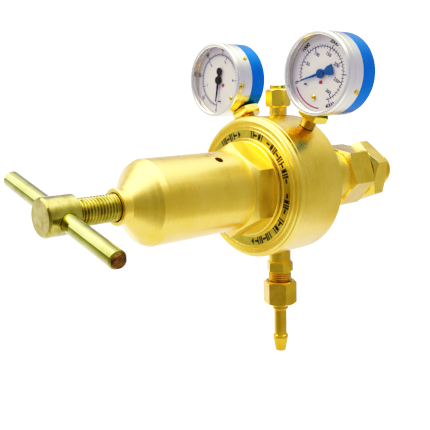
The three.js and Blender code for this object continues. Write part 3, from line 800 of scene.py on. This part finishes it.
def scale_print(spec):
    """The ticks, lines and numbers of a dial with an outer and an inner scale."""
    zero = spec["turn"]
    line = spec["scale_r"]
    tilt = zero - 225
    bars = [clock_bar(line - 0.22, line + 0.22, zero, zero + SWEEP)]
    numbers = []
    for name, outward in (("outer", 1), ("inner", -1)):
        scale = spec[name]
        step = scale["step"] / scale["parts"]
        for i in range(round(SWEEP / step - 0.49) + 1):
            clock = zero + i * step
            longest = i % scale["parts"] == 0
            length = 2.3 if longest else 1.7 if i % 5 == 0 else 1.3
            width = 0.60 if longest else 0.36
            bars.append(tick(line, line + outward * length, clock, width))
        for i, text in enumerate(scale["labels"]):
            clock = zero + i * scale["step"]
            if name == "outer":
                folded = (clock + 180) % 360 - 180
                turn = folded if abs(folded) < 100 else folded + 180
                numbers.append(number(text, spec["number"], line + spec["number_out"], clock, turn))
            elif text:
                numbers.append(number(text, 3.0, line - 4.1, clock, tilt))
    return [slab(outline, *PRINT) for outline in bars] + numbers


def warning_marks(spec):
    """The red print: a short block by the centre, and an arc outside the scale on the gauge that has one."""
    bars = [clock_bar(4.2, 6.4, spec["block"] - 14, spec["block"] + 14)]
    if spec["warning"]:
        bars.append(clock_bar(21.0, 21.9, *spec["warning"]))
    return [slab(outline, *PRINT) for outline in bars]


POINTERS = {
    "low": [
        (-1, 0), (-0.35, 15.5), (0.35, 15.5), (1, 0), (1, -3.6), (2.5, -5.4), (2.5, -7.4), (1.2, -9),
        (-1.2, -9), (-2.5, -7.4), (-2.5, -5.4), (-1, -3.6),
    ],
    "high": [
        (-1, 0), (-0.35, 15.5), (0.35, 15.5), (1, 0), (1.6, -4), (2.8, -6), (3.3, -10), (-3.3, -10),
        (-2.8, -6), (-1.6, -4),
    ],
}


def pointer(side, spec):
    turn = math.radians(spec["turn"])
    blade = [(x * math.cos(turn) + z * math.sin(turn), -x * math.sin(turn) + z * math.cos(turn))
             for x, z in POINTERS[side]]
    hub = lathe([
        (0, 18.7), (2.9, 18.7, 0.3), (2.9, 20), (0.6, 20), (0.6, 26), (1, 26), (1, 27.6), (0.6, 27.6),
        (0.6, 30.4), (0, 30.4),
    ], 40, 0.1)
    boss = lathe([(0, 18.5), (0.55, 18.5, 0.1), (0.55, 18.8), (0, 18.8)], 24, 0.1)
    needle = slab(blade, 19.1, 19.6)
    make(f"{side}_pointer_fine", merged(hub, needle, boss), GAUGE_FRAMES[side], spec["look"],
         f"{side}_pointer", [f"{side}_pointer"])


def gauge(side):
    spec = GAUGE[side]
    place = GAUGE_FRAMES[side]
    stem = radial_frame(STEM_ANGLES[side])
    stem_hole = radial_hole(4.0, 56, 66, stem)
    make(f"{side}_bezel_ring", lathe([
        (23.4, 15.1, 0.2), (23.9, 14.7, 0.3), (25.5, 14.7, 0.6), (26.2, 15.5, 0.5), (26.2, 19.9),
        (24.6, 19.9), (24.6, 16.3), (23.4, 16.3),
    ], 128, 0.2, True), place, "aluminium", "body", [f"{side}_bezel"])
    window = lathe([(0, 16.5), (24.3, 16.5), (24.3, 18.1), (0, 18.1)], 96, 0.15)
    make(f"{side}_window", window, place, "glass", "body", [f"{side}_lens"])
    make(f"{side}_case_shell", lathe([
        (0, 38.6), (23.9, 38.6), (23.9, 20.1), (26.2, 20.1), (26.2, 28.3, 0.4), (24.6, 28.3), (24.6, 39.4),
        (0, 39.4),
    ], 128, 0.25), place, "aluminium", "body", [f"{side}_case"], [stem_hole])
    make(f"{side}_blue_cover", lathe([
        (0, 39.7), (24.9, 39.7), (24.9, 28.6), (26, 28.6), (26, 40.6, 0.8), (25.2, 41.4), (0, 41.4),
    ], 128, 0.3), place, "blue", "body", [f"{side}_back_cover"], [radial_hole(4.1, 56, 66, stem)])
    plate = lathe([(1.3, DIAL_Y), (23.7, DIAL_Y), (23.7, 21.4), (1.3, 21.4)], 96, 0.05, True)
    make(f"{side}_dial_plate", plate, place, "dial", "body", [f"{side}_dial"])
    make(f"{side}_dial_print", merged(*scale_print(spec)), place, "ink")
    make(f"{side}_red_print", merged(*warning_marks(spec)), place, "red_ink")
    pointer(side, spec)
    make(f"{side}_pin", lathe([(0, 18.9), (0.5, 18.9), (0.5, 20.7), (0, 20.7)], 24, 0.1),
         dial_frame(side, *spec["pin"]), "black", "body", [f"{side}_stop_pin"])
    make(f"{side}_dial_screw_head", lathe([
        (0, 19.75), (1.0, 19.85, 0.4), (1.9, 20.3, 0.3), (1.9, 20.7), (0.8, 20.7), (0.8, 23.4), (0, 23.4),
    ], 40, 0.1), dial_frame(side, *spec["dial_screw"]), "brass", "body", [f"{side}_dial_screw"])
    make(f"{side}_set_screw_head", lathe([
        (0, 24.2), (1.1, 24.2), (1.1, 26.3), (1.7, 26.3), (1.7, 26.8, 0.2), (1.4, 27, 0.1), (0, 27),
    ], 32, 0.1), side_frame(side, spec["screw_angle"], 25.2), "brass", "body", [f"{side}_set_screw"])
    ridges = [(5.15 - 0.5 * (i % 2), 47.9 + 0.65 * i, 0.1) for i in range(10)]
    made = make(f"{side}_stem_hex", hexagon(19, 54.5, 60.1, 12, (1.2, 0.6), before=[
        (1, 34.5), (4.2, 34.5), (4.2, 47.7), *ridges, (5.15, 54.45),
    ], after=[(3.6, 60.1), (3.6, 73.2), (1, 73.2)], closed=True), stem, "brass", "body", [f"{side}_stem"])
    # The stem's neck next to the body is painted darker brass: painted shade and reflection where the parts
    # meet.
    repaint(made, "dark_brass_and_shade", lambda centre: centre.y < 54.4)


# ---------------------------------------------------------------- inside

def soft_pieces():
    """The diaphragm and the springs, each with a mesh of its own."""
    sheet = lathe([(2.3, 11.6), (29.3, 11.6), (29.3, 12.8), (2.3, 12.8)], 96, 0.15, True)
    disc = make("diaphragm_disc", sheet, AXIS, "rubber", "body", ["diaphragm"])
    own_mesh(disc)
    spring = make("range_spring_coil", coil(16, 1.9, -71.9, 7.9, 7), AXIS, "steel", "body", ["range_spring"])
    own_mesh(spring)
    closing_coil = coil(3.4, 0.45, 37.1, 51.9, 5)
    closer = make("poppet_spring_coil", closing_coil, AXIS, "steel", "body", ["poppet_spring"])
    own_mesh(closer)
    relief_coil = coil(2.9, 0.45, 45.9, 60.9, 5)
    lifter = make("relief_spring_coil", relief_coil, UPRIGHT, "steel", "body", ["relief_spring"])
    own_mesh(lifter)


CAD_LOOKS = {
    "spring_button": "steel", "spring_plate": "steel", "stud_nut": "brass", "slip_ring": "brass",
    "pusher": "brass", "nozzle": "brass", "valve_pin": "steel", "valve_seat_disc": "nylon",
    "valve_poppet": "brass", "inlet_filter": "bronze", "relief_seal": "rubber", "relief_poppet": "brass",
    "bourdon_tube": "bronze", "movement": "brass", "sector": "brass", "link": "steel",
}


def dress_inner_nodes():
    """CAD nodes that stay in view get a worked material and smooth shading where they are round."""
    for name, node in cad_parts.items():
        look = CAD_LOOKS.get(name.removeprefix("low_").removeprefix("high_"))
        if look is None or node.hide_render:
            continue
        node.data.materials.clear()
        node.data.materials.append(LOOKS[look])
        node.data.shade_smooth()
        node.data.set_sharp_from_angle(angle=INNER_SHARP)


# ---------------------------------------------------------------- studio

CAMERA_PLACE = (309.4, -307.4, 55.6)  # mm, from the centre of the body's front face
CAMERA_AZIMUTH = 48.04
CAMERA_ELEVATION = 9.56
CAMERA_ROLL = 1.57
FIELD_OF_VIEW = 36.37


def camera():
    azimuth = math.radians(CAMERA_AZIMUTH)
    elevation = math.radians(CAMERA_ELEVATION)
    right = Vector((math.cos(azimuth), math.sin(azimuth), 0))
    back = Vector((math.sin(azimuth) * math.cos(elevation), -math.cos(azimuth) * math.cos(elevation),
                   math.sin(elevation)))
    level = Matrix((right, back.cross(right), back)).transposed().to_4x4()
    data = bpy.data.cameras.new("camera")
    data.sensor_width = 36
    data.angle = math.radians(FIELD_OF_VIEW)
    data.clip_start = 0.01
    made = bpy.data.objects.new("camera", data)
    made.matrix_world = (AXIS @ Matrix.Translation(Vector(CAMERA_PLACE) * MM) @ level
                         @ Matrix.Rotation(math.radians(-CAMERA_ROLL), 4, "Z"))
    bpy.context.scene.collection.objects.link(made)
    bpy.context.scene.camera = made


def area_light(name, place, target, size, power):
    data = bpy.data.lights.new(name, "AREA")
    data.shape = "RECTANGLE"
    data.size, data.size_y = size
    data.energy = power
    made = bpy.data.objects.new(name, data)
    made.location = place
    made.rotation_euler = (Vector(target) - Vector(place)).to_track_quat("-Z", "Y").to_euler()
    bpy.context.scene.collection.objects.link(made)


# The sky's brightness, in (value, level) stops: by height for the walls, and by how nearly a direction points
# at the place named after it for the glow and the shade.
WALLS = [
    (-1.0, 0.70), (-0.79, 0.76), (-0.70, 0.92), (-0.46, 0.70), (-0.16, 0.58), (0.17, 0.52), (0.42, 0.55),
    (0.60, 0.85), (0.75, 1.60), (0.86, 2.60), (1.0, 3.2),
]
LEFT_GLOW = [(-1.0, 0.0), (0.55, 0.0), (0.85, 0.7), (1.0, 0.9)]
FRONT_SHADE = [(-1.0, 1.0), (0.55, 1.0), (0.88, 0.74), (1.0, 0.64)]
LEFT_GLOW_AT = (-0.93, 0.12, -0.34)
FRONT_SHADE_AT = (0.25, -0.95, -0.10)


class Sky:
    """The node tree of a world, with short calls for grey levels that depend on direction."""

    def __init__(self, world):
        world.use_nodes = True
        self.tree = world.node_tree
        self.tree.nodes.clear()
        self.direction = self.add("ShaderNodeTexCoord").outputs["Generated"]

    def add(self, kind):
        return self.tree.nodes.new(kind)

    def join(self, output, socket):
        self.tree.links.new(output, socket)

    def level(self, value, stops):
        """A grey level through (value, level) stops, for a value from -1 to 1."""
        peak = max(level for _, level in stops)
        span = self.add("ShaderNodeMapRange")
        span.inputs["From Min"].default_value = -1
        self.join(value, span.inputs["Value"])
        ramp = self.add("ShaderNodeValToRGB")
        self.join(span.outputs[0], ramp.inputs[0])
        marks = ramp.color_ramp.elements
        while len(marks) < len(stops):
            marks.new(0.5)
        for element, (place, level) in zip(marks, stops):
            element.position = (place + 1) / 2
            element.color = (level / peak, level / peak, level / peak, 1)
        return self.combine("MULTIPLY", ramp.outputs[0], peak)

    def combine(self, operation, a, b):
        node = self.add("ShaderNodeMath")
        node.operation = operation
        for socket, value in zip(node.inputs, (a, b)):
            if isinstance(value, bpy.types.NodeSocket):
                self.join(value, socket)
            else:
                socket.default_value = value
        return node.outputs[0]

    def height(self):
        split = self.add("ShaderNodeSeparateXYZ")
        self.join(self.direction, split.inputs[0])
        return split.outputs["Z"]

    def towards(self, place):
        """How nearly a direction points at a place, from -1 to 1."""
        node = self.add("ShaderNodeVectorMath")
        node.operation = "DOT_PRODUCT"
        self.join(self.direction, node.inputs[0])
        node.inputs[1].default_value = Vector(place).normalized()
        return node.outputs["Value"]


def sky():
    """A pale studio, brightest overhead and on the left and dim in front, plain white in the picture."""
    world = bpy.data.worlds.new("studio")
    bpy.context.scene.world = world
    studio_sky = Sky(world)
    level = studio_sky.level(studio_sky.height(), WALLS)
    changes = (("ADD", LEFT_GLOW_AT, LEFT_GLOW), ("MULTIPLY", FRONT_SHADE_AT, FRONT_SHADE))
    for operation, place, stops in changes:
        level = studio_sky.combine(operation, level, studio_sky.level(studio_sky.towards(place), stops))
    light = studio_sky.add("ShaderNodeBackground")
    studio_sky.join(level, light.inputs["Strength"])
    light.inputs["Color"].default_value = (1, 1, 1, 1)
    white = studio_sky.add("ShaderNodeBackground")
    white.inputs["Color"].default_value = (1, 1, 1, 1)
    white.inputs["Strength"].default_value = SEEN_SKY
    mix = studio_sky.add("ShaderNodeMixShader")
    studio_sky.join(studio_sky.add("ShaderNodeLightPath").outputs["Is Camera Ray"], mix.inputs[0])
    studio_sky.join(light.outputs[0], mix.inputs[1])
    studio_sky.join(white.outputs[0], mix.inputs[2])
    studio_sky.join(mix.outputs[0], studio_sky.add("ShaderNodeOutputWorld").inputs[0])


# How bright each level of light comes out: soft at the top, deeper in the shadows.
TONES = [
    (0.0, 0.0), (0.05, 0.02), (0.1, 0.06), (0.2, 0.17), (0.4, 0.375), (0.6, 0.57), (0.8, 0.73), (1.0, 0.85),
    (1.3, 0.95), (1.8, 1.0),
]
# A lift of the blue in the lights, which turns the brightest brass from yellow to cream.
BLUE_TONES = [
    (0.0, 0.0), (0.03, 0.026), (0.06, 0.065), (0.12, 0.17), (0.2, 0.27), (0.28, 0.33), (0.4, 0.405),
    (0.5, 0.48), (1.0, 1.0),
]


SEEN_SKY = TONES[-1][0] * 1.05  # just past the level that comes out white


def tones(view):
    """Sets the picture's tone curves: one for all colours, and one more for blue."""
    view.view_transform = "Standard"
    view.use_curve_mapping = True
    mapping = view.curve_mapping
    top = TONES[-1][0]
    mapping.white_level = (top, top, top)
    _, _, blue, combined = mapping.curves
    for light, shown in TONES[1:-1]:
        combined.points.new(light / top, shown)
    for light, shown in BLUE_TONES[1:-1]:
        blue.points.new(light, shown)
    mapping.update()


FLOOR_DROP = 0.2  # metres below the lowest point
FLOOR_R = 420
FLOOR_GLOW = 0.8
# The key light, in metres and watts.
KEY = {"place": (-0.35, -0.75, 0.65), "target": (0, -0.15, 0), "size": (1.0, 1.0), "power": 6}


def floor():
    low = cad_bounds[0].z - FLOOR_DROP
    made = bare("floor", lathe([(0, 0), (FLOOR_R, 0)], 96, 0), Matrix.Translation((0, FACE_Y, low))
                @ Matrix.Rotation(math.pi / 2, 4, "X"))
    material, nodes = plain("floor", (0.2, 0.2, 0.2), 0.0, 0.9)
    nodes.set(nodes.shader, "Emission Color", (1, 1, 1, 1))
    seen = nodes.add("ShaderNodeLightPath").outputs["Is Camera Ray"]
    nodes.set(nodes.shader, "Emission Strength", nodes.spread(seen, FLOOR_GLOW, TONES[-1][0], 0, 1))
    made.data.materials.append(material)


def studio():
    tones(bpy.context.scene.view_settings)
    camera()
    sky()
    floor()
    area_light("key", **KEY)


handle()
bonnet()
body()
inlet()
relief()
outlet()
for gauge_side in ("low", "high"):
    gauge(gauge_side)
soft_pieces()
dress_inner_nodes()
studio()

bpy.context.view_layer.update()
